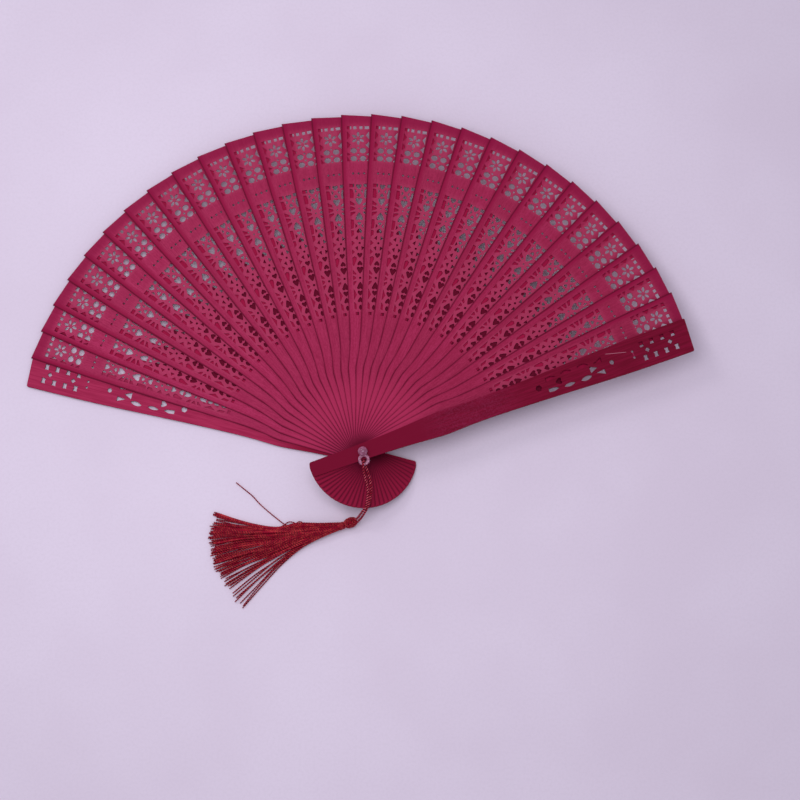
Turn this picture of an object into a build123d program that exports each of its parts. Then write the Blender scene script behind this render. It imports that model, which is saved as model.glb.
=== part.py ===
"""A folding hand fan of pierced wooden blades, open and lying flat on a table.

Twenty-eight thin blades turn on a clear plastic rivet between two thicker guards. Each stick lies in
a layer of its own: the rear guard is on the table, every blade lies over its left-hand neighbour, and
the front guard is on top at the right. A small plastic eye turns on the rivet over the front guard
and carries a cord with a knot and a tassel, which lie on the table below the handles.

Frame, in millimetres: the Z axis is the rivet's axis, Z = 0 is the table under the rear guard, and the
open fan spreads towards +Y.
"""

from build123d import *
import os
from math import cos, pi, radians, sin

# Sticks: thickness and the layers of the stack
BLADE_COUNT = 28
BLADE_THICKNESS = 0.45
GUARD_THICKNESS = 1.4
LAYER_GAP = 0.1
BLADE_PITCH = BLADE_THICKNESS + LAYER_GAP
FIRST_BLADE_Z = GUARD_THICKNESS + LAYER_GAP
FRONT_GUARD_Z = FIRST_BLADE_Z + BLADE_COUNT * BLADE_PITCH
STACK_TOP = FRONT_GUARD_Z + GUARD_THICKNESS

# How far the fan is open: directions of the two guards from the rivet, in degrees from +X
REAR_GUARD_ANGLE = 165.5
FRONT_GUARD_ANGLE = 19.8
# The blades aren't spaced quite evenly: how far two slow waves shift them, in degrees
SPACING_WAVES = ((1, 0.76), (2, 0.63), (4, 0.24))

# Stick outlines: (radius from the rivet, distance of the edge from the stick's axis there)
BLADE_LEFT_EDGE = (
    (-26.4, 3.7),
    (-12.0, 3.8),
    (0.0, 4.1),
    (19.0, 5.1),
    (31.0, 5.8),
    (37.5, 6.4),
    (43.0, 6.8),
    (49.0, 6.1),
    (55.5, 5.75),
    (65.0, 5.75),
    (80.0, 6.2),
    (99.5, 7.0),
    (122.0, 7.75),
    (142.0, 8.2),
    (172.8, 8.5),
)
# The right-hand edge is the same below the lace. Beside the lace the next blade hides it, and it is
# wider there, so that the next blade's holes are open only in the middle and near the tip.
BLADE_RIGHT_EDGE = (
    *BLADE_LEFT_EDGE[:9],
    (65.0, 6.1),
    (73.0, 7.8),
    (80.0, 8.8),
    (90.0, 9.7),
    (100.0, 10.5),
    (107.0, 10.8),
    (111.5, 10.2),
    (116.0, 9.3),
    (121.0, 8.9),
    (128.0, 8.9),
    (142.0, 9.2),
    (150.0, 9.4),
    (157.0, 9.9),
    (172.8, 10.8),
)
GUARD_EDGE = (
    (-26.4, 3.7),
    (-12.0, 3.8),
    (0.0, 4.0),
    (20.0, 4.7),
    (33.0, 5.6),
    (43.0, 6.1),
    (52.0, 5.75),
    (63.0, 5.6),
    (78.0, 5.9),
    (104.0, 6.8),
    (128.0, 7.8),
    (155.0, 8.4),
    (172.4, 8.5),
)
HANDLE_RADIUS = 27.2
HANDLE_CORNER_RADIUS = 1.1
TIP_SLOPE = 0.065
GUARD_TIP_CORNER_RADIUS = 0.8

# Holes for the thread that links the sticks near their tips
THREAD_RADIUS_OUT = 142.6
BLADE_THREAD_HOLES = (-2.75, 0.0, 2.75)
GUARD_THREAD_HOLES = (-1.5, 1.5)
THREAD_HOLE_RADIUS = 0.58
GUARD_THREAD_HOLE_RADIUS = 0.62
STITCH_WIDTH = 0.42
STITCH_HEIGHT = 0.08
STITCH_OVERLAP = 0.25

# Rivet: a pin with a flush foot in the rear guard, and a domed cap on the pin's end
PIN_RADIUS = 1.2
PIVOT_HOLE_RADIUS = 1.3
FOOT_RADIUS = 2.4
FOOT_THICKNESS = 0.7
FOOT_RECESS_RADIUS = 2.5
FOOT_RECESS_DEPTH = 0.75
EYE_Z = STACK_TOP + LAYER_GAP
EYE_THICKNESS = 1.3
CAP_Z = EYE_Z + EYE_THICKNESS + LAYER_GAP
CAP_RADIUS = 2.3
CAP_HEIGHT = 1.9
CAP_RIM_HEIGHT = 0.5
PIN_DEPTH_IN_CAP = 1.1
PIN_TOP = CAP_Z + PIN_DEPTH_IN_CAP

# Eye: a washer round the pin and a ring that overhangs the front guard's edge
EYE_WASHER_RADIUS = 2.35
RING_CENTRE = (0.6, -4.1)
RING_RADIUS = 2.9
RING_HOLE_RADIUS = 1.4
RING_EDGE_RADIUS = 0.4
SIZE_TOLERANCE = 0.05

# Cord: a loop of one limp cord, from the knot up through the ring and back to the knot
CORD_DIAMETER = 1.1
CORD_ROUTE = (
    (-3.6, -32.6, 3.9),
    (-2.0, -31.1, 6.9),
    (-0.6, -29.3, 10.5),
    (1.15, -27.2, 12.1),
    (1.9, -25.0, 12.6),
    (2.6, -21.4, 13.4),
    (2.5, -17.6, 14.7),
    (1.4, -13.3, 17.0),
    (0.5, -9.6, 19.3),
    (0.1, -7.4, 20.4),
    (0.4, -4.9, 20.45),
    (0.9, -4.9, 17.5),
    (1.7, -7.4, 17.4),
    (2.6, -10.2, 17.2),
    (3.6, -13.6, 16.2),
    (4.2, -17.2, 14.6),
    (4.0, -21.2, 13.3),
    (3.3, -24.4, 12.6),
    (2.4, -27.1, 11.9),
    (0.6, -29.9, 10.0),
    (-0.9, -32.0, 6.4),
    (-3.2, -34.0, 3.7),
)
CORD_ARC_SHARE = 0.45

# Knot, binding and tassel skirt, which lie on the table
KNOT_CENTRE = (-6.1, -33.8, 2.85)
TASSEL_DIRECTION = (-0.94, -0.342, 0.0)
KNOT_LENGTH = 7.0
KNOT_RADIUS = 2.8
BINDING_START = 3.55
BINDING_LENGTH = 2.6
BINDING_RADIUS = 2.1
SKIRT_THICKNESS = 4.4
SKIRT_TIP_THICKNESS = 2.4
SKIRT_NECK_X = -12.4
SKIRT_TIP_X = -76.0
SKIRT_OUTLINE = (
    (SKIRT_NECK_X, -35.9),
    (-15.5, -39.2),
    (-30.0, -46.0),
    (-41.5, -56.5),
    (-50.0, -67.5),
    (-58.0, -77.0),
    (-67.5, -69.5),
    (-73.5, -57.0),
    (SKIRT_TIP_X, -42.0),
    (-73.5, -28.0),
    (-62.0, -31.0),
    (-46.0, -33.6),
    (-28.0, -33.8),
    (-15.5, -34.0),
)


def stick_plane(angle, height):
    """Plane of a stick: its origin is on the rivet's axis and its X axis points at the stick's tip."""
    direction = (cos(radians(angle)), sin(radians(angle)), 0)
    return Plane(origin=(0, 0, height), x_dir=direction, z_dir=(0, 0, 1))


def blade_angle(number):
    """Direction of a blade of the open fan, blade 1 being next to the rear guard."""
    share = number / (BLADE_COUNT + 1)
    even = REAR_GUARD_ANGLE + share * (FRONT_GUARD_ANGLE - REAR_GUARD_ANGLE)
    return even + sum(size * sin(waves * pi * share) for waves, size in SPACING_WAVES)


def slanted(corner, tip_slope):
    """A corner of a square-cut tip, moved along the stick to where the slanting cut crosses it."""
    radius, offset = corner
    return (radius + tip_slope * offset, offset)


def stick_outline(left_edge, right_edge, tip_slope):
    """A stick without its piercings: two curved edges, a slanting cut tip and a rounded handle end."""
    left = [*left_edge[:-1], slanted(left_edge[-1], tip_slope)]
    right = [(radius, -offset) for radius, offset in right_edge[:-1]]
    right.append(slanted((right_edge[-1][0], -right_edge[-1][1]), tip_slope))
    with BuildSketch() as outline:
        with BuildLine():
            Spline(*left)
            Line(left[-1], right[-1])
            Spline(*right)
            ThreePointArc(left[0], (-HANDLE_RADIUS, 0), right[0])
        make_face()
        fillet(outline.vertices().sort_by(Axis.X)[:2], radius=HANDLE_CORNER_RADIUS)
        Circle(PIVOT_HOLE_RADIUS, mode=Mode.SUBTRACT)
    return outline.sketch


def heart(point, lobes, half_width):
    """A heart on the stick's axis, from the radius of its point to the radius its lobes reach."""
    length = lobes - point
    shoulder = (point + 0.62 * length, half_width)
    with BuildLine() as edge:
        ThreePointArc((point, 0), (point + 0.27 * length, 0.58 * half_width), shoulder)
        ThreePointArc(shoulder, (lobes, 0.5 * half_width), (lobes - 0.2 * length, 0))
        mirror(about=Plane.XZ)
    make_face(edge.edges())


def leaf(start, end, half_width):
    """A pointed leaf between two points, with the same bow on both sides."""
    middle = ((start[0] + end[0]) / 2, (start[1] + end[1]) / 2)
    along = (end[0] - start[0], end[1] - start[1])
    length = (along[0] ** 2 + along[1] ** 2) ** 0.5
    bow = (-along[1] / length * half_width, along[0] / length * half_width)
    with BuildLine() as edge:
        ThreePointArc(start, (middle[0] + bow[0], middle[1] + bow[1]), end)
        ThreePointArc(end, (middle[0] - bow[0], middle[1] - bow[1]), start)
    make_face(edge.edges())


def mirrored_hole(*points):
    """A straight-sided hole on the stick's left and the same hole mirrored to its right."""
    for side in (1, -1):
        with BuildLine() as edge:
            Polyline(*[(radius, side * offset) for radius, offset in points], close=True)
        make_face(edge.edges())


def border(radius):
    """How far from the axis the lower window's holes reach at a radius."""
    return 3.15 + 0.027 * (radius - 76.7)


def flower_petals(centre):
    """The petals of a flower to the left and right of its centre; hearts make those on the axis."""
    outer, inner, waist = border(centre), 1.95, 2.3
    mirrored_hole(
        (centre - 1.15, outer),
        (centre + 1.15, outer),
        (centre + 0.5, waist),
        (centre, inner),
        (centre - 0.5, waist),
    )
    for way in (-1, 1):
        mirrored_hole(
            (centre + way * 2.0, outer + way * 0.05),
            (centre + way * 4.0, outer + way * 0.1),
            (centre + way * 2.3, inner),
            (centre + way * 1.5, inner),
        )


def lower_window():
    """The long lace window: a chain of hearts and flowers on the axis, edged with small holes."""
    hearts = (
        (79.0, 76.2, 1.2),
        (79.6, 82.2, 1.3),
        (86.7, 82.9, 1.35),
        (90.8, 94.4, 1.4),
        (97.5, 95.1, 1.25),
        (99.0, 101.5, 1.25),
        (114.2, 111.8, 1.35),
        (115.7, 117.4, 0.9),
        (122.5, 118.4, 1.6),
        (126.2, 129.9, 1.6),
        (132.4, 130.6, 0.9),
        (134.4, 137.0, 1.4),
    )
    for point, lobes, half_width in hearts:
        heart(point, lobes, half_width)
    leaf((72.3, 0), (75.0, 0), 0.8)
    for centre, radius in ((88.7, 0.6), (106.6, 0.55), (124.4, 0.4)):
        with Locations((centre, 0)):
            Circle(radius)
    for centre in (88.7, 124.4):
        flower_petals(centre)
    for way in (-1, 1):
        mirrored_hole((106.6 + way * 1.6, 0.9), (106.6 + way * 3.9, 0.9), (106.6 + way * 2.4, 2.4))
    mirrored_hole((105.2, border(105)), (107.9, border(108)), (106.6, 2.35))
    # Triangles between the hearts
    for centre in (115.4, 133.4):
        mirrored_hole((centre - 1.2, 2.0), (centre + 1.2, 2.0), (centre, 1.0))
    # Holes along the borders, from the handle to the tip
    mirrored_hole((73.0, border(73)), (76.5, border(77)), (75.2, 2.0), (72.5, 1.9))
    mirrored_hole((77.4, border(78)), (83.3, border(83)), (80.1, 1.75))
    mirrored_hole(
        (94.6, 3.0),
        (95.4, border(95)),
        (99.1, border(99)),
        (99.8, 2.6),
        (99.1, 1.6),
        (97.9, 1.7),
    )
    mirrored_hole((100.7, border(101)), (103.3, border(103)), (102.0, 2.4))
    mirrored_hole((109.9, border(110)), (113.2, border(113)), (113.0, 2.8), (110.9, 2.8))
    mirrored_hole((113.9, border(114)), (118.8, border(118)), (118.6, 2.8), (116.5, 2.6), (114.2, 2.9))
    mirrored_hole((130.0, border(130)), (134.5, border(134)), (134.3, 3.1), (131.9, 2.6), (129.8, 2.8))
    mirrored_hole((135.5, border(135)), (137.2, border(138)), (137.2, 2.4), (135.5, 2.4))
    mirrored_hole((69.7, 0.85), (69.7, 2.45), (71.2, 2.45), (71.2, 0.85))


def upper_window():
    """The lace window near the tip: wide ovals, a six-petalled flower and a row of small squares."""
    border_offset = 5.6
    flower_radius_out = 160.9
    petal_inner, petal_outer, petal_half_width = 0.8, 3.5, 0.72
    for radius in (150.4, 154.5):
        for offset in (-2.35, 2.35):
            with Locations((radius, offset)):
                Ellipse(1.4, 1.6)
    for petal in range(6):
        direction = radians(60 * petal)
        start = (flower_radius_out + petal_inner * cos(direction), petal_inner * sin(direction))
        end = (flower_radius_out + petal_outer * cos(direction), petal_outer * sin(direction))
        leaf(start, end, petal_half_width)
    for radius, size in ((149.3, 0.4), (152.4, 0.5), (156.0, 0.45)):
        with Locations((radius, 0)):
            Circle(size)
    mirrored_hole((149.0, border_offset), (151.4, border_offset), (149.0, 4.1))
    mirrored_hole((152.4, 3.9), (153.6, border_offset), (151.9, border_offset))
    mirrored_hole((155.6, border_offset), (159.2, border_offset), (157.4, 3.6))
    mirrored_hole((160.2, border_offset), (164.6, border_offset), (162.4, 3.9))
    for low, high in ((0.8, 2.3), (3.4, border_offset)):
        mirrored_hole((165.7, low), (165.7, high), (167.3, high), (167.3, low))


def guard_window():
    """The guards' bolder piercings: leaf pairs below the thread holes and squares near the tip."""
    with Locations((92.4, 0)):
        RegularPolygon(1.6, 6)
    heart(101.3, 104.4, 1.5)
    mirrored_hole((96.8, 1.7), (96.8, 3.6), (99.5, 3.9), (102.2, 3.2), (100.8, 2.2))
    for side in (1, -1):
        leaf((104.8, side * 3.4), (110.6, side * 3.2), 0.85)
        leaf((113.6, side * 3.6), (119.5, side * 2.9), 1.05)
    mirrored_hole((122.0, 2.4), (126.5, 4.4), (126.5, 1.9))
    with BuildLine() as edge:
        Polyline((119.6, 1.7), (123.4, 0), (119.6, -1.7), close=True)
    make_face(edge.edges())
    with Locations((131.1, 0)):
        Circle(1.1)
    for radius in (148.0, 153.5, 159.1, 164.6):
        mirrored_hole(
            (radius - 1.1, 2.2), (radius - 0.8, 3.5), (radius - 1.1, 4.8),
            (radius + 1.1, 4.8), (radius + 0.8, 3.5), (radius + 1.1, 2.2),
        )
    for radius in (150.1, 162.1):
        with Locations((radius, 0)):
            RegularPolygon(1.25, 4)


def pierced(outline, windows, hole_offsets, hole_radius):
    """A stick's outline less its windows and its thread holes."""
    with BuildSketch() as holes:
        for window in windows:
            window()
        for offset in hole_offsets:
            with Locations((THREAD_RADIUS_OUT, offset)):
                Circle(hole_radius)
    with BuildSketch() as stick:
        add(outline)
        add(holes.sketch, mode=Mode.SUBTRACT)
    return stick.sketch


def tip_corners(part):
    """The two upright edges at a guard's tip."""
    def distance(edge):
        return edge.center().X ** 2 + edge.center().Y ** 2

    return ShapeList(sorted(part.edges().filter_by(Axis.Z), key=distance)[-2:])


def stitches(angle, height, holes):
    """The stitches on one stick, each from one thread hole to the next."""
    with BuildSketch(stick_plane(angle, height)) as marks:
        for low, high in zip(holes, holes[1:]):
            with Locations((THREAD_RADIUS_OUT, (low + high) / 2)):
                SlotCenterToCenter(high - low - STITCH_OVERLAP, STITCH_WIDTH, rotation=90)
    extrude(marks.sketch, amount=STITCH_HEIGHT)


def tan_half(turn):
    """Tangent of half an angle given in degrees."""
    return sin(radians(turn / 2)) / cos(radians(turn / 2))


def corner_radii(route):
    """The largest arc that each corner's two runs allow."""
    points = [Vector(*point) for point in route]
    radii = []
    for before, corner, after in zip(points, points[1:], points[2:]):
        turn = (corner - before).get_angle(after - corner)
        shorter = min((corner - before).length, (after - corner).length)
        radii.append(CORD_ARC_SHARE * shorter / tan_half(turn))
    return radii


def tassel_plane(distance):
    """Plane across the tassel's axis, a distance from the knot's centre towards the skirt."""
    centre = Vector(*KNOT_CENTRE) + Vector(*TASSEL_DIRECTION) * distance
    return Plane(origin=centre, x_dir=(0, 0, 1), z_dir=TASSEL_DIRECTION)


def save(part, name):
    """Label a finished sub-part and write it as a STEP file."""
    part.label = name
    export_step(part, f"parts/{name}.step")


os.makedirs("parts", exist_ok=True)

# ---- The blades -------------------------------------------------------------------------------
blade_outline = stick_outline(BLADE_LEFT_EDGE, BLADE_RIGHT_EDGE, TIP_SLOPE)
blade_face = pierced(blade_outline, (lower_window, upper_window), BLADE_THREAD_HOLES, THREAD_HOLE_RADIUS)
for number in range(1, BLADE_COUNT + 1):
    height = FIRST_BLADE_Z + (number - 1) * BLADE_PITCH
    with BuildPart() as blade:
        with BuildSketch(stick_plane(blade_angle(number), height)):
            add(blade_face)
        extrude(amount=BLADE_THICKNESS)
    save(blade.part, f"blade_{number:02d}")

# ---- The guards -------------------------------------------------------------------------------
# The rear guard is the front guard's mirror image, so its tip slants the other way.
front_outline = stick_outline(GUARD_EDGE, GUARD_EDGE, TIP_SLOPE)
rear_outline = stick_outline(GUARD_EDGE, GUARD_EDGE, -TIP_SLOPE)
front_face = pierced(front_outline, (guard_window,), GUARD_THREAD_HOLES, GUARD_THREAD_HOLE_RADIUS)
rear_face = pierced(rear_outline, (guard_window,), GUARD_THREAD_HOLES, GUARD_THREAD_HOLE_RADIUS)

with BuildPart() as front_guard:
    with BuildSketch(stick_plane(FRONT_GUARD_ANGLE, FRONT_GUARD_Z)):
        add(front_face)
    extrude(amount=GUARD_THICKNESS)
    fillet(tip_corners(front_guard), radius=GUARD_TIP_CORNER_RADIUS)
save(front_guard.part, "front_guard")

with BuildPart() as rear_guard:
    with BuildSketch(stick_plane(REAR_GUARD_ANGLE, 0)):
        add(rear_face)
    extrude(amount=GUARD_THICKNESS)
    fillet(tip_corners(rear_guard), radius=GUARD_TIP_CORNER_RADIUS)
    with BuildSketch():
        Circle(FOOT_RECESS_RADIUS)
    extrude(amount=FOOT_RECESS_DEPTH, mode=Mode.SUBTRACT)
save(rear_guard.part, "rear_guard")

# ---- The rivet --------------------------------------------------------------------------------
with BuildPart() as rivet_pin:
    with BuildSketch():
        Circle(FOOT_RADIUS)
    extrude(amount=FOOT_THICKNESS)
    with BuildSketch():
        Circle(PIN_RADIUS)
    extrude(amount=PIN_TOP)
save(rivet_pin.part, "rivet_pin")

with BuildPart() as rivet_cap:
    with BuildSketch(Plane.XZ):
        with BuildLine():
            Line((0, CAP_Z + CAP_HEIGHT), (0, PIN_TOP))
            Polyline((0, PIN_TOP), (PIN_RADIUS, PIN_TOP), (PIN_RADIUS, CAP_Z), (CAP_RADIUS, CAP_Z))
            rim = Line((CAP_RADIUS, CAP_Z), (CAP_RADIUS, CAP_Z + CAP_RIM_HEIGHT))
            TangentArc((0, CAP_Z + CAP_HEIGHT), rim @ 1, tangent=(1, 0))
        make_face()
    revolve(axis=Axis.Z)
save(rivet_cap.part, "rivet_cap")

with BuildPart() as tassel_eye:
    with BuildSketch(Plane.XY.offset(EYE_Z)):
        Circle(EYE_WASHER_RADIUS)
        with Locations(RING_CENTRE):
            Circle(RING_RADIUS)
            Circle(RING_HOLE_RADIUS, mode=Mode.SUBTRACT)
        Circle(PIVOT_HOLE_RADIUS, mode=Mode.SUBTRACT)
    extrude(amount=EYE_THICKNESS)
    round_edges = tassel_eye.edges().filter_by(GeomType.CIRCLE)
    ring_edges = [edge for edge in round_edges if edge.radius > PIVOT_HOLE_RADIUS + SIZE_TOLERANCE]
    fillet(ring_edges, radius=RING_EDGE_RADIUS)
save(tassel_eye.part, "tassel_eye")

# ---- The linking thread -----------------------------------------------------------------------
# A stitch lies flat on each stick's face between its thread holes.
with BuildPart() as linking_thread:
    for number in range(1, BLADE_COUNT + 1):
        top = FIRST_BLADE_Z + (number - 1) * BLADE_PITCH + BLADE_THICKNESS
        stitches(blade_angle(number), top, BLADE_THREAD_HOLES)
    stitches(FRONT_GUARD_ANGLE, STACK_TOP, GUARD_THREAD_HOLES)
save(linking_thread.part, "linking_thread")

# ---- The tassel -------------------------------------------------------------------------------
cord_radii = corner_radii(CORD_ROUTE)
print("cord bend radii, mm:", [round(radius, 1) for radius in cord_radii])
with BuildPart() as tassel_cord:
    with BuildLine() as cord_path:
        FilletPolyline(*CORD_ROUTE, radius=cord_radii)
    with BuildSketch(Plane(origin=cord_path.line @ 0, z_dir=cord_path.line % 0)):
        Circle(CORD_DIAMETER / 2)
    sweep()
cord_length = sum(run.length for run in cord_path.edges())
print("cord length, mm:", round(cord_length, 1))
cord_section = pi * CORD_DIAMETER**2 / 4
print("tube volume over section times length:", tassel_cord.part.volume / (cord_section * cord_length))
save(tassel_cord.part, "tassel_cord")


with BuildPart() as tassel_knot:
    with BuildSketch(Plane(origin=KNOT_CENTRE, x_dir=TASSEL_DIRECTION, z_dir=tassel_plane(0).y_dir)):
        with BuildLine():
            ellipse_arc = EllipticalCenterArc((0, 0), KNOT_LENGTH / 2, KNOT_RADIUS, 0, arc_size=180)
            Line(ellipse_arc @ 1, ellipse_arc @ 0)
        make_face()
    revolve(axis=Axis(KNOT_CENTRE, TASSEL_DIRECTION))
save(tassel_knot.part, "tassel_knot")

with BuildPart() as tassel_binding:
    with BuildSketch(tassel_plane(BINDING_START)):
        Circle(BINDING_RADIUS)
    extrude(amount=BINDING_LENGTH)
save(tassel_binding.part, "tassel_binding")

# The skirt is thickest at the binding and thins towards the threads' tips.
with BuildPart() as tassel_skirt:
    with BuildSketch(Plane.XY):
        with BuildLine():
            Spline(*SKIRT_OUTLINE, periodic=True)
        make_face()
    extrude(amount=SKIRT_THICKNESS)
    fall = (SKIRT_TIP_X - SKIRT_NECK_X, 0, SKIRT_TIP_THICKNESS - SKIRT_THICKNESS)
    neck_top = (SKIRT_NECK_X, 0, SKIRT_THICKNESS)
    sloping_top = Plane(origin=neck_top, x_dir=fall, z_dir=(-fall[2], 0, fall[0]))
    split(bisect_by=sloping_top, keep=Keep.TOP)
save(tassel_skirt.part, "tassel_skirt")
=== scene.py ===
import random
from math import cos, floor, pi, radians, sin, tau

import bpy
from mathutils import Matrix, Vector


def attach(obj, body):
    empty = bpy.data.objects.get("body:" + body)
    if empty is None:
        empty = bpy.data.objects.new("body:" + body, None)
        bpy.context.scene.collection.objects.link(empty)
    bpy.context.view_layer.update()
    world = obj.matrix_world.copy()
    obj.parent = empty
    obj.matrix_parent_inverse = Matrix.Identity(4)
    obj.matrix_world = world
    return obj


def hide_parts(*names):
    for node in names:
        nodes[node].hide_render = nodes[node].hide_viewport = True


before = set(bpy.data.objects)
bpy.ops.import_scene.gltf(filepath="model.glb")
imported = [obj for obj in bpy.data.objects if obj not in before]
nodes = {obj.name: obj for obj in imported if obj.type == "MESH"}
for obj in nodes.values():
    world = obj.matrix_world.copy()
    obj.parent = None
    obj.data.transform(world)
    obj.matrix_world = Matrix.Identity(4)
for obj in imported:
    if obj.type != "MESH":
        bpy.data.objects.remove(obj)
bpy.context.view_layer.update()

# A folding hand fan of pierced, dyed wooden blades, open on a pale table, with a cord and a tassel.
# The blades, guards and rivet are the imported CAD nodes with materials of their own. The linking thread's
# stitches, the cord, the knot, the binding and the tassel's skirt are built here from twisted thread.
# Sizes with MM are millimetres; +Z is up, the rivet is on the Z axis and the blades fan out towards +Y.

MM = 0.001

# ---- The fan's layout, as in the CAD ----------------------------------------------------------
BLADE_COUNT = 28
BLADE_THICKNESS = 0.45
BLADE_PITCH = 0.55
FIRST_BLADE_Z = 1.5
STACK_TOP = 18.3
REAR_GUARD_ANGLE = 165.5
FRONT_GUARD_ANGLE = 19.8
SPACING_WAVES = ((1, 0.76), (2, 0.63), (4, 0.24))
THREAD_RADIUS_OUT = 142.6
BLADE_THREAD_HOLES = (-2.75, 0.0, 2.75)
GUARD_THREAD_HOLES = (-1.5, 1.5)
# How a blade's half-width grows: from one radius to another, from one width to another, all added up
BLADE_EDGE_RUNS = (
    (0, -26, 4.1, 3.7),
    (0, 43, 0, 2.7),
    (43, 56, 0, -1.05),
    (62, 142, 0, 2.45),
    (142, 172, 0, 0.3),
)
# How far each blade lies round from the last, per millimetre of radius
BLADE_STEP = 0.0877

# ---- Light ------------------------------------------------------------------------------------
# What a white, matt surface on the table shows: colours below are divided by it.
TABLE_LIGHT = 0.86

# ---- Tassel, in millimetres -------------------------------------------------------------------
CORD_DIAMETER = 1.1
CORD_ROUTE = (
    (-3.6, -32.6, 3.9),
    (-2.0, -31.1, 6.9),
    (-0.6, -29.3, 10.5),
    (1.15, -27.2, 12.1),
    (1.9, -25.0, 12.6),
    (2.6, -21.4, 13.4),
    (2.5, -17.6, 14.7),
    (1.4, -13.3, 17.0),
    (0.5, -9.6, 19.3),
    (0.1, -7.4, 20.4),
    (0.4, -4.9, 20.45),
    (0.9, -4.9, 17.5),
    (1.7, -7.4, 17.4),
    (2.6, -10.2, 17.2),
    (3.6, -13.6, 16.2),
    (4.2, -17.2, 14.6),
    (4.0, -21.2, 13.3),
    (3.3, -24.4, 12.6),
    (2.4, -27.1, 11.9),
    (0.6, -29.9, 10.0),
    (-0.9, -32.0, 6.4),
    (-3.2, -34.0, 3.7),
)
CORD_PITCH = 2.7
# The plies' outer radius over the cord's diameter: between the plies the cord is thinner.
CORD_PLY_REACH = 0.62
KNOT_CENTRE = Vector((-6.1, -33.8, 2.85))
TASSEL_DIRECTION = Vector((-0.94, -0.342, 0.0))
KNOT_LENGTH = 7.0
KNOT_RADIUS = 2.8
BINDING_START = 3.3
BINDING_LENGTH = 3.0
BINDING_RADIUS = 2.1
SKIRT_THREAD_RADIUS = 0.4
SKIRT_THREAD_PITCH = 2.4
LONE_THREAD_RADIUS = 0.33
# The lowest middle of a thread that lies on the table
THREAD_LOW = 0.45


def blade_angle(number):
    """Direction of a blade from the rivet, in degrees from +X, blade 1 being next to the rear guard."""
    share = number / (BLADE_COUNT + 1)
    even = REAR_GUARD_ANGLE + share * (FRONT_GUARD_ANGLE - REAR_GUARD_ANGLE)
    return even + sum(size * sin(waves * pi * share) for waves, size in SPACING_WAVES)


def linear(red, green, blue):
    """The surface colour that shows as this sRGB colour, 0 to 255, under the table's light."""
    def channel(value):
        value /= 255
        return value / 12.92 if value <= 0.04045 else ((value + 0.055) / 1.055) ** 2.4

    return tuple(min(channel(value) / TABLE_LIGHT, 0.95) for value in (red, green, blue)) + (1.0,)


# ---- Node helpers -----------------------------------------------------------------------------
def node(tree, kind, inputs=None, **settings):
    """Add a node; inputs are plain values or the sockets that feed them."""
    made = tree.nodes.new(kind)
    for name, value in settings.items():
        setattr(made, name, value)
    for key, value in (inputs or {}).items():
        if isinstance(value, bpy.types.NodeSocket):
            tree.links.new(value, made.inputs[key])
        else:
            made.inputs[key].default_value = value
    return made


def calc(tree, operation, *values):
    """The result of a Math node."""
    inputs = dict(enumerate(values))
    return node(tree, "ShaderNodeMath", inputs, operation=operation).outputs[0]


def ramp(tree, value, start, end, low=0.0, high=1.0, smooth=True):
    """The value's way from start to end, as a number from low to high, clamped."""
    kind = "SMOOTHSTEP" if smooth else "LINEAR"
    inputs = {"Value": value, "From Min": start, "From Max": end, "To Min": low, "To Max": high}
    return node(tree, "ShaderNodeMapRange", inputs, interpolation_type=kind).outputs["Result"]


def mix(tree, factor, first, second):
    """Two colours mixed by a factor."""
    made = node(tree, "ShaderNodeMix", data_type="RGBA")
    for socket, value in ((made.inputs[0], factor), (made.inputs[6], first), (made.inputs[7], second)):
        if isinstance(value, bpy.types.NodeSocket):
            tree.links.new(value, socket)
        else:
            socket.default_value = value
    return made.outputs[2]


def noise(tree, vector, scale, detail=3.0, roughness=0.55):
    """A noise value from 0 to 1."""
    inputs = {"Vector": vector, "Scale": scale, "Detail": detail, "Roughness": roughness}
    return node(tree, "ShaderNodeTexNoise", inputs).outputs[0]


def stretched(tree, vector, scale, seed):
    """Coordinates scaled along each axis and moved by a seeded offset."""
    inputs = {"Vector": vector, "Scale": scale, "Location": (seed * 13.7, seed * 7.3, seed * 3.1)}
    return node(tree, "ShaderNodeMapping", inputs).outputs[0]


def new_material(name):
    """A material, its node tree and its main shader."""
    material = bpy.data.materials.new(name)
    material.use_nodes = True
    tree = material.node_tree
    return material, tree, tree.nodes["Principled BSDF"]


def bump(tree, shader, height, distance, strength=1.0):
    """Fine relief on a shader, distance in millimetres."""
    inputs = {"Height": height, "Distance": distance * MM, "Strength": strength}
    made = node(tree, "ShaderNodeBump", inputs)
    tree.links.new(made.outputs[0], shader.inputs["Normal"])


def stick_coordinates(tree, angle):
    """A stick's own place: coordinates in millimetres with X along it, and its radius and offset."""
    place = node(tree, "ShaderNodeTexCoord").outputs["Object"]
    inputs = {"Vector": place, "Rotation": (0, 0, radians(angle)), "Scale": (MM, MM, MM)}
    local = node(tree, "ShaderNodeMapping", inputs, vector_type="TEXTURE").outputs[0]
    parts = node(tree, "ShaderNodeSeparateXYZ", {"Vector": local})
    return local, parts.outputs["X"], parts.outputs["Y"]


def wall_share(tree):
    """1 on a stick's cut edges and hole walls, 0 on its faces."""
    normal = node(tree, "ShaderNodeTexCoord").outputs["Normal"]
    upward = node(tree, "ShaderNodeSeparateXYZ", {"Vector": normal}).outputs["Z"]
    return ramp(tree, calc(tree, "ABSOLUTE", upward), 0.9, 0.4)


def edge_offset(tree, radius):
    """How far a blade's left-hand edge is from its axis at a radius, in millimetres."""
    total = 0.0
    for start, end, low, high in BLADE_EDGE_RUNS:
        total = calc(tree, "ADD", ramp(tree, radius, start, end, low, high, smooth=False), total)
    return total


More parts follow.
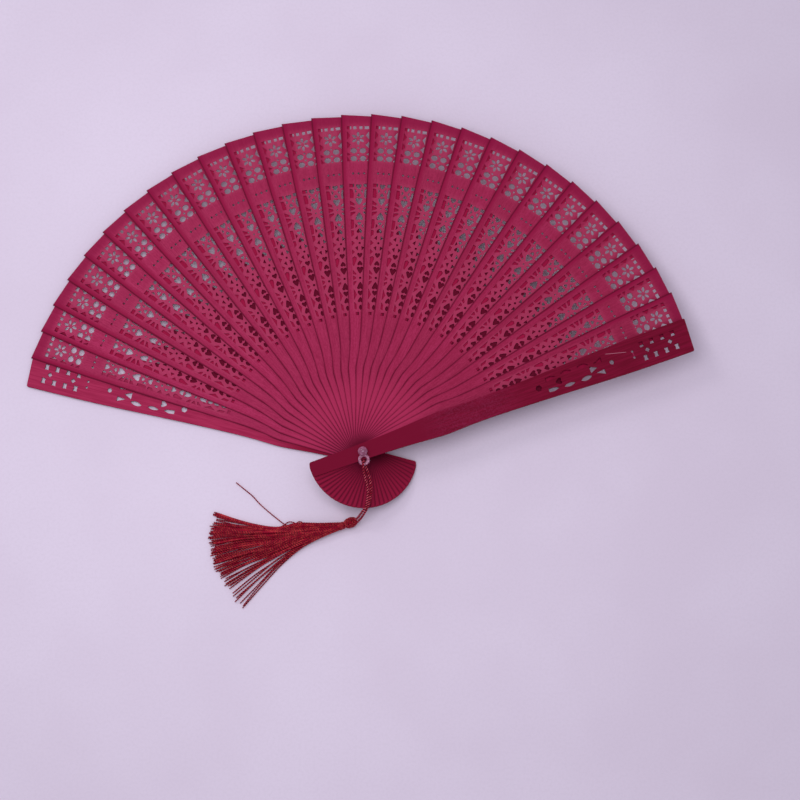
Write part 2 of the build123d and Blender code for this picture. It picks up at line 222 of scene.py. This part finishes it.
def scratch(tree, radius, offset, start, end, width):
    """1 along a fine straight scratch between two places on a stick, given as (radius, offset)."""
    slope = (end[1] - start[1]) / (end[0] - start[0])
    line = calc(tree, "MULTIPLY_ADD", calc(tree, "SUBTRACT", radius, start[0]), slope, start[1])
    away = calc(tree, "ABSOLUTE", calc(tree, "SUBTRACT", offset, line))
    across = ramp(tree, away, width, width * 0.3)
    low, high = min(start[0], end[0]), max(start[0], end[0])
    along = calc(tree, "MULTIPLY", ramp(tree, radius, low, low + 1), ramp(tree, radius, high, high - 1))
    return calc(tree, "MULTIPLY", across, along)


# ---- Materials --------------------------------------------------------------------------------
def blade_material(number):
    """Thin dyed wood: grain along the blade, a darker left margin, tip and handle end, dark cut edges;
    painted light and shade.
    """
    share = (number - 1) / (BLADE_COUNT - 1)
    tone = random.Random(number).uniform(-3, 3)
    material, tree, shader = new_material(f"blade_wood_{number:02d}")
    local, radius, offset = stick_coordinates(tree, blade_angle(number))
    fibre = noise(tree, stretched(tree, local, (0.11, 2.4, 1.0), number), 1.0, 4.0, 0.65)
    blotch = noise(tree, stretched(tree, local, (0.03, 0.2, 0.2), number + 40), 1.0, 2.0)
    speckle = noise(tree, stretched(tree, local, (0.9, 1.8, 1.0), number + 80), 1.0, 2.0)
    light = linear(168 - 14 * share + tone, 47 - 9 * share, 89 - 12 * share + tone)
    dark = linear(146 - 12 * share + tone, 32 - 6 * share, 72 - 11 * share)
    grain = calc(tree, "ADD", calc(tree, "MULTIPLY", fibre, 0.6), calc(tree, "MULTIPLY", speckle, 0.4))
    colour = mix(tree, ramp(tree, grain, 0.36, 0.64), light, dark)
    colour = mix(tree, ramp(tree, blotch, 0.35, 0.7, 0.0, 0.3), colour, dark)
    # The lace's webs are paler where the cutter went round them.
    lace = calc(tree, "MULTIPLY", ramp(tree, radius, 70, 74), ramp(tree, radius, 140, 136))
    upper_lace = calc(tree, "MULTIPLY", ramp(tree, radius, 147, 150), ramp(tree, radius, 169, 166))
    lace = calc(tree, "MAXIMUM", lace, upper_lace)
    inner = ramp(tree, calc(tree, "ABSOLUTE", offset), 4.6, 3.0)
    colour = mix(tree, calc(tree, "MULTIPLY", calc(tree, "MULTIPLY", lace, inner), 0.35), colour,
                 linear(172, 66, 100))
    inside = calc(tree, "SUBTRACT", calc(tree, "ABSOLUTE", offset), edge_offset(tree, radius))
    margin = ramp(tree, inside, -3.5, -0.9)
    margin = calc(tree, "MULTIPLY", margin, ramp(tree, radius, 90, 160, 0.12, 0.95))
    colour = mix(tree, margin, colour, linear(136, 10, 58))
    colour = mix(tree, ramp(tree, radius, 166.5, 170.5, 0.0, 0.65), colour, linear(130, 10, 58))
    # Painted light: the handles are painted paler near the rivet, against the shade they cast on each other
    # there; below it they are dark.
    colour = mix(tree, ramp(tree, radius, 52, 22, 0.0, 0.6), colour, linear(174, 46, 88))
    colour = mix(tree, ramp(tree, radius, 10, -10, 0.0, 0.97), colour, linear(133, 16, 52))
    # Painted shadow: a thin dark line along both edges stands in for the shadow line where the blades
    # overlap.
    painted_edge_shadow = ramp(tree, inside, -1.0, -0.15, 0.0, 0.92)
    colour = mix(tree, painted_edge_shadow, colour, linear(92, 2, 36))
    # Painted shade: what lies under the next blade's holes is painted in shaded tones, darkest under its
    # middle ones.
    beyond = calc(tree, "MULTIPLY_ADD", radius, BLADE_STEP, offset)
    painted_shade_under_next = calc(tree, "MULTIPLY", ramp(tree, beyond, 6.2, 5.2), ramp(tree, radius, 64, 71))
    colour = mix(tree, calc(tree, "MULTIPLY", painted_shade_under_next, 0.9), colour, linear(152, 12, 60))
    painted_deep_shade = calc(tree, "MULTIPLY", ramp(tree, beyond, 2.0, 1.3), ramp(tree, radius, 64, 71))
    colour = mix(tree, calc(tree, "MULTIPLY", painted_deep_shade, 0.9), colour, linear(84, 0, 30))
    colour = mix(tree, wall_share(tree), colour, linear(66, 2, 28))
    tree.links.new(colour, shader.inputs["Base Color"])
    tree.links.new(ramp(tree, fibre, 0.3, 0.7, 0.42, 0.6), shader.inputs["Roughness"])
    shader.inputs["Specular IOR Level"].default_value = 0.12
    bump(tree, shader, fibre, 0.035, 0.6)
    return material


def guard_material(name, angle, light, dark, handle, scratches, sheen):
    """Thicker, smoother dyed wood, with fine scratches and, on the front guard, a painted speckled sheen.
    """
    material, tree, shader = new_material(name)
    local, radius, offset = stick_coordinates(tree, angle)
    fibre = noise(tree, stretched(tree, local, (0.07, 1.7, 1.0), angle), 1.0, 4.0, 0.6)
    blotch = noise(tree, stretched(tree, local, (0.05, 0.25, 0.2), angle + 5), 1.0, 2.0)
    speckle = noise(tree, stretched(tree, local, (1.5, 1.9, 1.0), angle + 9), 1.0, 2.0)
    colour = mix(tree, ramp(tree, fibre, 0.36, 0.64), light, dark)
    colour = mix(tree, ramp(tree, blotch, 0.4, 0.7, 0.0, 0.4), colour, dark)
    # Painted sheen: a speckled, purplish sheen painted between radii 18 and 88 mm, as strong as the sheen
    # argument.
    painted_sheen = calc(tree, "MULTIPLY", ramp(tree, radius, 18, 36), ramp(tree, radius, 88, 66))
    painted_sheen = calc(tree, "MULTIPLY", painted_sheen, ramp(tree, speckle, 0.4, 0.68, 0.0, sheen))
    colour = mix(tree, painted_sheen, colour, linear(136, 44, 84))
    colour = mix(tree, ramp(tree, radius, 46, 26, 0.0, 0.95), colour, handle)
    for start, end, width in scratches:
        mark = calc(tree, "MULTIPLY", scratch(tree, radius, offset, start, end, width), 0.7)
        colour = mix(tree, mark, colour, linear(205, 140, 165))
    colour = mix(tree, wall_share(tree), colour, linear(66, 4, 26))
    tree.links.new(colour, shader.inputs["Base Color"])
    tree.links.new(ramp(tree, blotch, 0.3, 0.7, 0.3, 0.46), shader.inputs["Roughness"])
    shader.inputs["Specular IOR Level"].default_value = 0.12
    bump(tree, shader, fibre, 0.03, 0.5)
    return material


def clear_plastic():
    """The rivet and the tassel's eye: clear moulded plastic that takes the dyed wood's colour."""
    material, tree, shader = new_material("clear_plastic")
    place = node(tree, "ShaderNodeTexCoord").outputs["Object"]
    haze = noise(tree, place, 1100.0, 2.0)
    colour = mix(tree, ramp(tree, haze, 0.35, 0.7), linear(176, 92, 132), linear(214, 148, 186))
    tree.links.new(colour, shader.inputs["Base Color"])
    tree.links.new(ramp(tree, haze, 0.3, 0.7, 0.08, 0.2), shader.inputs["Roughness"])
    shader.inputs["Transmission Weight"].default_value = 0.55
    shader.inputs["IOR"].default_value = 1.47
    bump(tree, shader, noise(tree, place, 520.0, 1.0), 0.06, 0.6)
    return material


def thread_material(name, groove_shade, ply, glint, glint_share, roughness):
    """Glossy twisted thread: painted shade in the grooves between the plies and painted glints along their
    crests.
    """
    material, tree, shader = new_material(name)
    place = node(tree, "ShaderNodeTexCoord").outputs["Object"]
    crest = node(tree, "ShaderNodeAttribute", attribute_name="crest").outputs["Fac"]
    fluff = noise(tree, place, 2600.0, 3.0)
    patches = noise(tree, place, 620.0, 2.0)
    # Painted light and shade: crests are painted lighter, grooves darker, with painted glints in patches
    # along the crests.
    colour = mix(tree, ramp(tree, crest, 0.3, 0.75), groove_shade, ply)
    spots = calc(tree, "MULTIPLY", ramp(tree, crest, 0.6, 0.95), ramp(tree, patches, 0.42, 0.6))
    colour = mix(tree, calc(tree, "MULTIPLY", spots, glint_share), colour, glint)
    colour = mix(tree, ramp(tree, fluff, 0.5, 0.75, 0.0, 0.35), colour, groove_shade)
    tree.links.new(colour, shader.inputs["Base Color"])
    tree.links.new(ramp(tree, fluff, 0.3, 0.7, roughness, roughness + 0.2), shader.inputs["Roughness"])
    shader.inputs["Specular IOR Level"].default_value = 0.16
    bump(tree, shader, fluff, 0.05, 0.6)
    return material


def table_material():
    """A pale lilac table top with hardly visible unevenness."""
    material, tree, shader = new_material("table")
    place = node(tree, "ShaderNodeTexCoord").outputs["Object"]
    cloud = noise(tree, place, 9.0, 3.0)
    fine = noise(tree, place, 700.0, 2.0)
    colour = mix(tree, ramp(tree, cloud, 0.3, 0.7), linear(219, 207, 228), linear(214, 201, 222))
    colour = mix(tree, ramp(tree, fine, 0.35, 0.75, 0.0, 0.25), colour, linear(206, 194, 214))
    tree.links.new(colour, shader.inputs["Base Color"])
    tree.links.new(ramp(tree, fine, 0.3, 0.7, 0.6, 0.75), shader.inputs["Roughness"])
    shader.inputs["Specular IOR Level"].default_value = 0.15
    return material


def dress(name, material):
    """Give a CAD node its material."""
    for slot in nodes[name].material_slots:
        slot.material = material


# ---- Thread building --------------------------------------------------------------------------
class Threads:
    """Twisted two-ply threads gathered into one mesh."""

    SIDES = 8

    def __init__(self):
        self.vertices = []
        self.faces = []
        self.crests = []

    def add(self, points, radius, pitch, phase=0.0, steps=6, taper=None):
        """A thread along points in millimetres; taper(share) scales its radius along it."""
        points = even_points(points, pitch / steps)
        frames = frames_along(points)
        last = len(points) - 1
        for index, (point, (side, up)) in enumerate(zip(points, frames)):
            twist = phase + tau * index / steps
            size = radius * (taper(index / last) if taper else 1.0)
            for corner in range(self.SIDES):
                around = tau * corner / self.SIDES
                lobe = cos(2 * around - 2 * twist)
                reach = size * (0.78 + 0.22 * lobe)
                self.vertices.append((point + reach * (cos(around) * side + sin(around) * up)) * MM)
                self.crests.append((lobe + 1) / 2)
        self.close(len(points))

    def close(self, rings):
        """Faces of the last thread's rings, and its two ends."""
        start = len(self.vertices) - rings * self.SIDES
        for ring in range(rings - 1):
            low = start + ring * self.SIDES
            for corner in range(self.SIDES):
                beside = (corner + 1) % self.SIDES
                self.faces.append(
                    (low + corner, low + beside, low + self.SIDES + beside, low + self.SIDES + corner)
                )
        self.faces.append(tuple(reversed(range(start, start + self.SIDES))))
        last = start + (rings - 1) * self.SIDES
        self.faces.append(tuple(range(last, last + self.SIDES)))

    def piece(self, name, material):
        """The finished object."""
        mesh = bpy.data.meshes.new(name)
        mesh.from_pydata(self.vertices, [], self.faces)
        attribute = mesh.attributes.new("crest", "FLOAT", "POINT")
        attribute.data.foreach_set("value", self.crests)
        return finished(name, mesh, material)


def finished(name, mesh, material):
    """An object of a mesh, smooth shaded, in the scene."""
    mesh.materials.append(material)
    mesh.polygons.foreach_set("use_smooth", [True] * len(mesh.polygons))
    mesh.update()
    made = bpy.data.objects.new(name, mesh)
    bpy.context.scene.collection.objects.link(made)
    return made


def even_points(points, step):
    """Points at an even spacing along a line of points."""
    runs = [(after - before).length for before, after in zip(points, points[1:])]
    count = max(2, round(sum(runs) / step))
    spacing = sum(runs) / count
    spaced, run, walked = [points[0]], 0, 0.0
    for index in range(1, count):
        target = index * spacing
        while run < len(runs) - 1 and walked + runs[run] < target:
            walked += runs[run]
            run += 1
        spaced.append(points[run].lerp(points[run + 1], (target - walked) / runs[run]))
    return [*spaced, points[-1]]


def frames_along(points):
    """Side and up directions at each point, turning as little as the line allows."""
    tangents = []
    for index in range(len(points)):
        before, after = points[max(index - 1, 0)], points[min(index + 1, len(points) - 1)]
        tangents.append((after - before).normalized())
    side = tangents[0].orthogonal().normalized()
    frames = []
    for tangent in tangents:
        side = (side - side.dot(tangent) * tangent).normalized()
        frames.append((side, tangent.cross(side)))
    return frames


def smooth_line(stations, per_run=8):
    """A smooth line through stations, kept above the table, for the tassel's loose threads."""
    first = stations[0] * 2 - stations[1]
    last = stations[-1] * 2 - stations[-2]
    ends = [first, *stations, last]
    line = []
    for a, b, c, d in zip(ends, ends[1:], ends[2:], ends[3:]):
        for step in range(per_run):
            t = step / per_run
            line.append(0.5 * (2 * b + (c - a) * t + (2 * a - 5 * b + 4 * c - d) * t**2
                               + (3 * b - a - 3 * c + d) * t**3))
    line.append(stations[-1])
    return [Vector((point.x, point.y, max(point.z, THREAD_LOW))) for point in line]


# ---- Camera -----------------------------------------------------------------------------------
CAMERA_TILT = (7.94, -0.95)
CAMERA_PLACE = Vector((0.0186, 0.0278, 0.900))
CAMERA_LENS = 80.87
CAMERA_SENSOR = 36.0

camera = bpy.data.objects.new("camera", bpy.data.cameras.new("camera"))
bpy.context.scene.collection.objects.link(camera)
camera.rotation_mode = "YXZ"
camera.rotation_euler = (radians(CAMERA_TILT[0]), radians(CAMERA_TILT[1]), 0)
camera.location = camera.rotation_euler.to_matrix() @ CAMERA_PLACE
camera.data.sensor_width = CAMERA_SENSOR
camera.data.lens = CAMERA_LENS
camera.data.clip_start = 0.01
bpy.context.scene.camera = camera

# ---- Cord -------------------------------------------------------------------------------------
def route_points(route):
    """Points of the smooth NURBS line that a cord's route controls, in millimetres."""
    curve = bpy.data.curves.new("cord_route", "CURVE")
    curve.dimensions = "3D"
    spline = curve.splines.new("NURBS")
    spline.points.add(len(route) - 1)
    for point, place in zip(spline.points, route):
        point.co = (*(value * MM for value in place), 1.0)
    spline.order_u = 3
    spline.use_endpoint_u = True
    spline.resolution_u = 16
    holder = bpy.data.objects.new("cord_route", curve)
    bpy.context.scene.collection.objects.link(holder)
    line = bpy.data.meshes.new_from_object(holder)
    points = [vertex.co / MM for vertex in line.vertices]
    bpy.data.objects.remove(holder)
    bpy.data.curves.remove(curve)
    bpy.data.meshes.remove(line)
    return points


cord_thread = thread_material(
    "cord_thread", linear(58, 0, 16), linear(146, 4, 40), linear(244, 104, 128), 0.8, 0.3)
cord_points = route_points(CORD_ROUTE)
cord_threads = Threads()
cord_threads.add(cord_points, CORD_DIAMETER * CORD_PLY_REACH, CORD_PITCH, steps=12)
cord = cord_threads.piece("cord", cord_thread)
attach(cord, "tassel")
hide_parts("tassel_cord")

# ---- Knot and binding -------------------------------------------------------------------------
knot_thread = thread_material(
    "knot_thread", linear(70, 0, 16), linear(166, 4, 44), linear(240, 96, 96), 0.75, 0.3)
ACROSS = Vector((-TASSEL_DIRECTION.y, TASSEL_DIRECTION.x, 0)).normalized()
UP = Vector((0, 0, 1))


def tassel_place(along, radius, around):
    """A point by its distance along the tassel's axis from the knot's centre and its place round it."""
    return KNOT_CENTRE + TASSEL_DIRECTION * along + radius * (cos(around) * ACROSS + sin(around) * UP)


def braided_knot():
    """Eight strands wound one way over and under eight wound the other way, closed to a ball."""
    threads = Threads()
    strands, strand_radius, strand_pitch, half_turns = 8, 0.42, 1.7, 1.15
    steps, weave_depth, end_radius, roundness = 48, 0.22, 0.25, 0.75
    bulge = KNOT_RADIUS - 2 * strand_radius
    for way in (-1, 1):
        for strand in range(strands):
            points = []
            for step in range(steps + 1):
                share = step / steps
                along = -cos(pi * share) * (KNOT_LENGTH / 2 - strand_radius)
                girth = bulge * sin(pi * share) ** roundness + end_radius
                around = tau * strand / strands + way * half_turns * pi * share
                weave = weave_depth * way * cos(strands * half_turns * pi * share) * sin(pi * share)
                points.append(tassel_place(along, girth + weave, around))
            threads.add(points, strand_radius, strand_pitch, phase=strand)
    return threads


def knot_core():
    """The knot's dark inside, which closes the gaps between the strands."""
    threads = Threads()
    half_length, radius, pitch, blunt_end = KNOT_LENGTH * 0.44, KNOT_RADIUS - 0.95, 8.0, 0.05
    points = [tassel_place(step / 10 * half_length, 0, 0) for step in range(-10, 11)]
    threads.add(points, radius, pitch, steps=24,
                taper=lambda share: max(1 - (2 * share - 1) ** 2, blunt_end) ** 0.5)
    return threads


def binding_threads():
    """A thread wound tightly round the neck below the knot, and the neck's core."""
    threads = Threads()
    thread_radius, thread_pitch, turns, steps = 0.34, 1.3, 5, 24
    wound_radius, core_radius, core_pitch = BINDING_RADIUS - thread_radius - 0.1, BINDING_RADIUS - 0.45, 9.0
    points = []
    for step in range(turns * steps + 1):
        share = step / (turns * steps)
        along = BINDING_START + thread_radius + share * (BINDING_LENGTH - 2 * thread_radius)
        points.append(tassel_place(along, wound_radius, tau * turns * share))
    threads.add(points, thread_radius, thread_pitch)
    core = [tassel_place(along, 0, 0) for along in (2.2, 3.5, 5.0, 6.4)]
    threads.add(core, core_radius, core_pitch, steps=steps)
    return threads


knot = braided_knot()
core = knot_core()
for piece_name, threads in (("knot", knot), ("knot_core", core)):
    piece = threads.piece(piece_name, knot_thread)
    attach(piece, "tassel")
    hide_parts("tassel_knot")
binding = binding_threads().piece("binding", knot_thread)
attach(binding, "tassel")
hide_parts("tassel_binding")

# ---- Skirt ------------------------------------------------------------------------------------
# Guide lines across the skirt from its upper side to its lower side, each by six stations (x, y) from
# the binding to the tips. A thread's place between them is its share across, from 0 to 1.
SKIRT_GUIDES = (
    ((-11.3, -35.3), (-21.0, -35.2), (-33.0, -34.3), (-44.0, -36.1), (-60.0, -32.8), (-73.6, -27.9)),
    ((-11.3, -35.6), (-22.0, -37.3), (-35.0, -38.2), (-47.0, -38.8), (-62.0, -39.2), (-75.9, -40.6)),
    ((-11.3, -35.9), (-21.3, -39.3), (-34.0, -43.2), (-46.0, -46.8), (-60.0, -50.8), (-73.4, -55.4)),
    ((-11.3, -36.2), (-20.5, -40.9), (-30.8, -47.0), (-40.5, -55.5), (-50.0, -67.0), (-58.3, -78.0)),
)
# Groups of threads: how many, from which share to which, and how far they wander, in millimetres
SKIRT_GROUPS = (
    (11, 0.0, 0.075, 0.5),
    (5, 0.09, 0.19, 1.2),
    (78, 0.17, 0.74, 0.9),
    (10, 0.72, 0.84, 0.9),
    (7, 0.84, 1.0, 1.0),
)
SKIRT_NECK_RADIUS = 1.65
SKIRT_NECK_Z = 2.85
SKIRT_LAYER = 0.72
# By station, from the binding to the tips: how far threads wander, and how much of the neck's roundness
# they keep
SKIRT_WANDER = (0.0, 0.25, 0.6, 1.0, 0.8, 0.9)
SKIRT_NECK_SHARE = (1.0, 0.75, 0.3, 0.0, 0.0, 0.0)


def guide_place(share, station):
    """The place at a share across the skirt, between the two guides beside it."""
    position = min(max(share, 0.0), 1.0) * (len(SKIRT_GUIDES) - 1)
    lower = min(floor(position), len(SKIRT_GUIDES) - 2)
    first, second = (Vector(SKIRT_GUIDES[guide][station]) for guide in (lower, lower + 1))
    return first.lerp(second, position - lower)


def skirt_stations(share, wander, layer, dice):
    """Where one thread of the skirt runs, from inside the binding to its tip on the table."""
    stations = []
    around = dice.uniform(0, tau)
    out = SKIRT_NECK_RADIUS * dice.random() ** 0.5
    drift = dice.uniform(-1, 1)
    rest = THREAD_LOW + SKIRT_LAYER * layer
    heights = (SKIRT_NECK_Z, 2.5, 1.21 + 0.45 * rest, rest, rest, min(rest, 1.2))
    for station, height in enumerate(heights):
        place = guide_place(share, station)
        reach = SKIRT_WANDER[station] * wander
        x = place.x + reach * dice.uniform(-0.5, 0.5)
        y = place.y + reach * (0.6 * drift + 0.6 * dice.uniform(-1, 1))
        neck = SKIRT_NECK_SHARE[station] * out
        y += neck * cos(around)
        z = height + neck * sin(around)
        stations.append(Vector((x, y, max(z, THREAD_LOW))))
    tip = (stations[-1] - stations[-2]).normalized()
    stations[-1] += tip * dice.uniform(-1.6, 0.9)
    return stations


def neck_taper(share):
    """Threads are pressed together in the binding and full beyond it; their tips fray thinner."""
    return min(0.62 + share * 4.0, 1.0) * (1.0 if share < 0.97 else 0.85)


skirt_thread = thread_material(
    "skirt_thread", linear(56, 0, 16), linear(156, 2, 42), linear(232, 92, 84), 0.6, 0.32)
dice = random.Random(7)
skirts = (Threads(), Threads(), Threads())
for count, low, high, wander in SKIRT_GROUPS:
    for index in range(count):
        share = low + (high - low) * (index + dice.uniform(0.1, 0.9)) / count
        layers = 3 if 0.2 < share < 0.72 else 2
        layer = index % layers
        stations = skirt_stations(share, wander, layer, dice)
        skirts[layer].add(smooth_line(stations), SKIRT_THREAD_RADIUS * dice.uniform(0.88, 1.08),
                          SKIRT_THREAD_PITCH * dice.uniform(0.92, 1.1), dice.uniform(0, tau),
                          taper=neck_taper)

# One thread strays away from the skirt, and two stand up as small loops on its upper side.
STRAY_THREAD = (
    (-30.0, -36.0, 1.9),
    (-36.0, -35.3, 1.6),
    (-39.0, -34.4, 0.9),
    (-43.5, -31.0, 0.4),
    (-48.8, -26.6, 0.35),
    (-52.0, -23.6, 0.35),
    (-55.0, -20.3, 0.35),
    (-59.5, -16.6, 0.35),
    (-63.2, -13.6, 0.35),
)
LOOPED_THREADS = (
    (
        (-26.0, -35.6, 2.4),
        (-29.5, -34.0, 2.8),
        (-31.4, -33.2, 2.2),
        (-33.0, -34.0, 1.6),
        (-36.5, -36.2, 1.4),
    ),
    (
        (-32.0, -35.2, 1.8),
        (-34.5, -33.6, 2.0),
        (-37.0, -33.4, 1.4),
        (-38.8, -34.6, 1.0),
        (-42.5, -36.8, 1.0),
    ),
)
skirts[1].add(smooth_line([Vector(place) for place in STRAY_THREAD]), LONE_THREAD_RADIUS,
              SKIRT_THREAD_PITCH)
for loop in LOOPED_THREADS:
    skirts[2].add(smooth_line([Vector(place) for place in loop]), LONE_THREAD_RADIUS,
                  SKIRT_THREAD_PITCH)
for name, threads in zip(("skirt_lower", "skirt_middle", "skirt_upper"), skirts):
    piece = threads.piece(name, skirt_thread)
    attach(piece, "tassel")
    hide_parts("tassel_skirt")

# ---- Stitches of the linking thread -----------------------------------------------------------
STITCH_HALF_WIDTH = 0.24
STITCH_INSET = 0.34
STITCH_HEIGHT = 0.08
STITCH_STEPS = 14
# How steeply a stitch's ends dip, and how deep below the stick's face they end
STITCH_DIP = 5.0
STITCH_SINK = 0.3
STITCH_CROSS = ((-1.0, 0.0), (-0.8, 0.55), (-0.35, 0.95), (0.0, 0.8), (0.35, 0.95), (0.8, 0.55), (1.0, 0.0))

stitch_thread = thread_material(
    "linking_thread", linear(112, 14, 52), linear(168, 46, 92), linear(205, 96, 136), 0.6, 0.45)


def stitch_piece(name, angle, top, holes):
    """Flat stitches on a stick's face from each thread hole to the next, dipping into the holes."""
    vertices, faces, crests = [], [], []
    along = Vector((cos(radians(angle)), sin(radians(angle)), 0))
    across = Vector((-along.y, along.x, 0))
    for low, high in zip(holes, holes[1:]):
        start = len(vertices)
        for step in range(STITCH_STEPS + 1):
            share = step / STITCH_STEPS
            offset = low + STITCH_INSET + share * (high - low - 2 * STITCH_INSET)
            centre = along * THREAD_RADIUS_OUT + across * offset
            arch = min(share, 1 - share) * STITCH_DIP
            sink = 0.0 if arch > 1 else -STITCH_SINK * (1 - arch) ** 2
            for corner, (sideways, raised) in enumerate(STITCH_CROSS):
                narrow = 0.7 + 0.3 * min(arch, 1.0)
                lift = sink + STITCH_HEIGHT * raised
                beside = along * (sideways * STITCH_HALF_WIDTH * narrow)
                vertices.append((centre + beside + Vector((0, 0, top + lift))) * MM)
                crests.append(0.5 + 0.5 * cos(corner * 1.1 - step * 1.3))
        width = len(STITCH_CROSS)
        for step in range(STITCH_STEPS):
            for corner in range(width):
                following = (corner + 1) % width
                first, second = start + step * width, start + (step + 1) * width
                faces.append((first + corner, first + following, second + following, second + corner))
        faces.append(tuple(reversed(range(start, start + width))))
        faces.append(tuple(range(start + STITCH_STEPS * width, start + (STITCH_STEPS + 1) * width)))
    mesh = bpy.data.meshes.new(name)
    mesh.from_pydata(vertices, [], faces)
    attribute = mesh.attributes.new("crest", "FLOAT", "POINT")
    attribute.data.foreach_set("value", crests)
    return finished(name, mesh, stitch_thread)


for number in range(1, BLADE_COUNT + 1):
    top = FIRST_BLADE_Z + (number - 1) * BLADE_PITCH + BLADE_THICKNESS
    stitches = stitch_piece(f"stitches_{number:02d}", blade_angle(number), top, BLADE_THREAD_HOLES)
    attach(stitches, f"blade_{number:02d}")
    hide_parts("linking_thread")
guard_stitch = stitch_piece("stitches_front_guard", FRONT_GUARD_ANGLE, STACK_TOP, GUARD_THREAD_HOLES)
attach(guard_stitch, "front_guard")
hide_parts("linking_thread")

# ---- Materials of the CAD nodes ---------------------------------------------------------------
for number in range(1, BLADE_COUNT + 1):
    dress(f"blade_{number:02d}", blade_material(number))
dress("front_guard", guard_material(
    "front_guard_wood", FRONT_GUARD_ANGLE, linear(119, 8, 46), linear(101, 2, 34), linear(110, 4, 40),
    scratches=(((129.0, 5.0), (140.0, 2.2), 0.14),),
    sheen=0.3,
))
dress("rear_guard", guard_material(
    "rear_guard_wood", REAR_GUARD_ANGLE, linear(164, 42, 82), linear(146, 28, 68), linear(130, 10, 48),
    scratches=(((52.0, -1.0), (61.0, 0.6), 0.12),),
    sheen=0.0,
))
plastic = clear_plastic()
for name in ("rivet_pin", "rivet_cap", "tassel_eye"):
    dress(name, plastic)

# ---- Table, lights and world ------------------------------------------------------------------
TABLE_HALF = 1.5
TABLE_Z = -0.1 * MM

table_mesh = bpy.data.meshes.new("table")
table_corners = [(x * TABLE_HALF, y * TABLE_HALF, TABLE_Z) for x, y in ((-1, -1), (1, -1), (1, 1), (-1, 1))]
table_mesh.from_pydata(table_corners, [], [(0, 1, 2, 3)])
table = finished("table", table_mesh, table_material())


def area_light(name, place, size, energy, colour, glossy):
    """A large soft light aimed at the middle of the fan; only a glossy one shows in reflections."""
    light = bpy.data.lights.new(name, "AREA")
    light.shape = "DISK"
    light.size = size
    light.energy = energy
    light.color = colour
    lamp = bpy.data.objects.new(name, light)
    bpy.context.scene.collection.objects.link(lamp)
    lamp.location = place
    lamp.visible_glossy = glossy
    aim = Vector((-0.02, 0.03, 0.0)) - Vector(place)
    lamp.rotation_euler = aim.to_track_quat("-Z", "Y").to_euler()


area_light("overhead", (-0.07, 0.06, 0.52), 0.34, 0.98, (1.0, 0.98, 0.99), False)
area_light("key", (-0.55, 0.5, 0.75), 0.3, 1.3, (1.0, 0.98, 0.97), True)

world = bpy.data.worlds.new("studio")
bpy.context.scene.world = world
world.use_nodes = True
world.node_tree.nodes["Background"].inputs["Color"].default_value = (0.95, 0.94, 1.0, 1.0)
world.node_tree.nodes["Background"].inputs["Strength"].default_value = 0.5
bpy.context.scene.view_settings.view_transform = "Standard"
